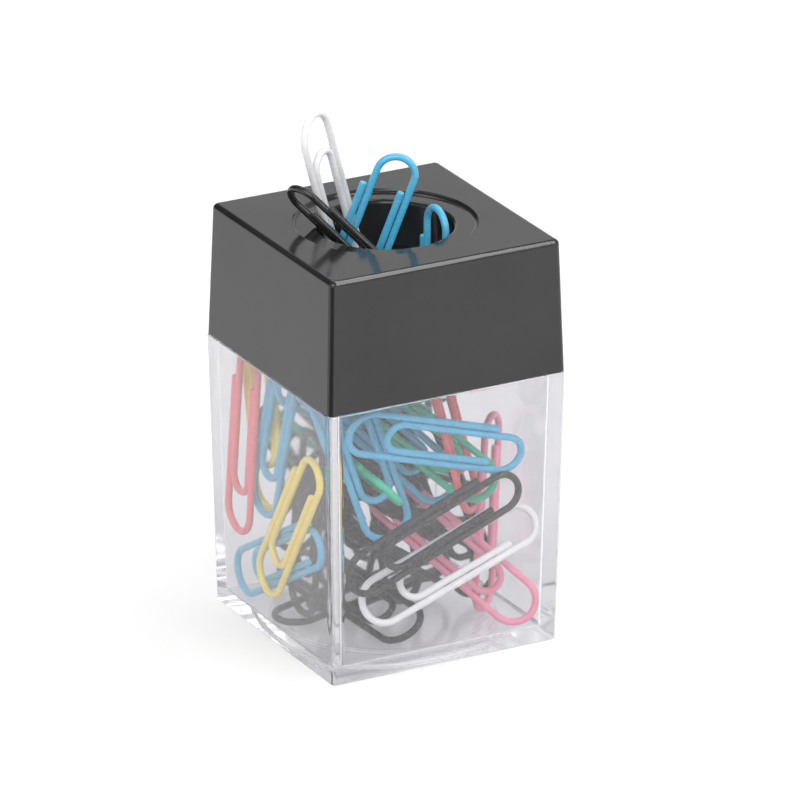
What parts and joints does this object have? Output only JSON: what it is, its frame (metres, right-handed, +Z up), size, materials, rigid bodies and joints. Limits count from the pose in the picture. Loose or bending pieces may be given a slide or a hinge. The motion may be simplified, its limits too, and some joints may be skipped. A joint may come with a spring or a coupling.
{
  "type": "magnetic paper clip holder",
  "caption": "Clear square paper clip holder with a black lid, a ring magnet round its mouth, and coated wire clips in the cup and in the mouth.",
  "frame": {"origin": "middle of the cup's foot, on the surface it stands on", "axes": "+Z up through the mouth, -Y out of the front face, -X out of the left face"},
  "size_m": [0.042, 0.042, 0.0862],
  "materials": {
    "black_coat": "smooth coloured coat on wire",
    "black_plastic": "black, polished",
    "blue_coat": "smooth coloured coat on wire",
    "clear_plastic": "clear, polished",
    "ferrite": "dark grey, ground",
    "green_coat": "smooth coloured coat on wire",
    "grey_plastic": "dark grey, plain",
    "pink_coat": "smooth coloured coat on wire",
    "red_coat": "smooth coloured coat on wire",
    "white_coat": "smooth coloured coat on wire",
    "yellow_coat": "smooth coloured coat on wire"
  },
  "bodies": {
    "cup": {"cup": "clear_plastic", "back_black_clip": "black_coat", "corner_black_clip": "black_coat", "corner_pink_clip": "pink_coat", "floor_black_clip": "black_coat", "floor_cross_black_clip": "black_coat", "front_black_clip": "black_coat", "front_blue_clip": "blue_coat", "front_green_clip": "green_coat", "front_red_clip": "red_coat", "front_white_clip": "white_coat", "heap_black_clip_1": "black_coat", "heap_black_clip_2": "black_coat", "heap_black_clip_3": "black_coat", "heap_black_clip_4": "black_coat", "heap_black_clip_5": "black_coat", "heap_black_clip_6": "black_coat", "heap_blue_clip": "blue_coat", "heap_pink_clip": "pink_coat", "left_back_yellow_clip": "yellow_coat", "left_blue_clip": "blue_coat", "left_green_clip": "green_coat", "left_low_blue_clip": "blue_coat", "left_red_clip": "red_coat", "left_yellow_clip": "yellow_coat", "low_black_clip": "black_coat", "right_black_clip": "black_coat", "slanting_blue_clip": "blue_coat", "steep_blue_clip": "blue_coat", "steep_pink_clip": "pink_coat", "upright_black_clip": "black_coat"},
    "lid": {"lid": "black_plastic", "ring_magnet": "ferrite", "magnet_retainer": "grey_plastic"},
    "mouth_white_clip": {"mouth_white_clip": "white_coat"},
    "mouth_black_clip": {"mouth_black_clip": "black_coat"},
    "mouth_blue_clip": {"mouth_blue_clip": "blue_coat"},
    "mouth_low_blue_clip": {"mouth_low_blue_clip": "blue_coat"}
  },
  "joints": [
    {"name": "lid_lift", "type": "slide", "parent": "cup", "child": "lid", "axis": [0, 0, 1], "range_m": [0, 0.04]},
    {"name": "white_clip_pull", "type": "slide", "parent": "lid", "child": "mouth_white_clip", "axis": [-0.3019, -0.122, 0.9455], "range_m": [0, 0.018]},
    {"name": "black_clip_pull", "type": "slide", "parent": "lid", "child": "mouth_black_clip", "axis": [-0.6124, 0.3536, 0.7071], "range_m": [0, 0.018]},
    {"name": "blue_clip_pull", "type": "slide", "parent": "lid", "child": "mouth_blue_clip", "axis": [0.302, -0.1606, 0.9397], "range_m": [0, 0.016]},
    {"name": "low_blue_clip_pull", "type": "slide", "parent": "lid", "child": "mouth_low_blue_clip", "axis": [0, 0, 1], "range_m": [0, 0.008]}
  ]
}
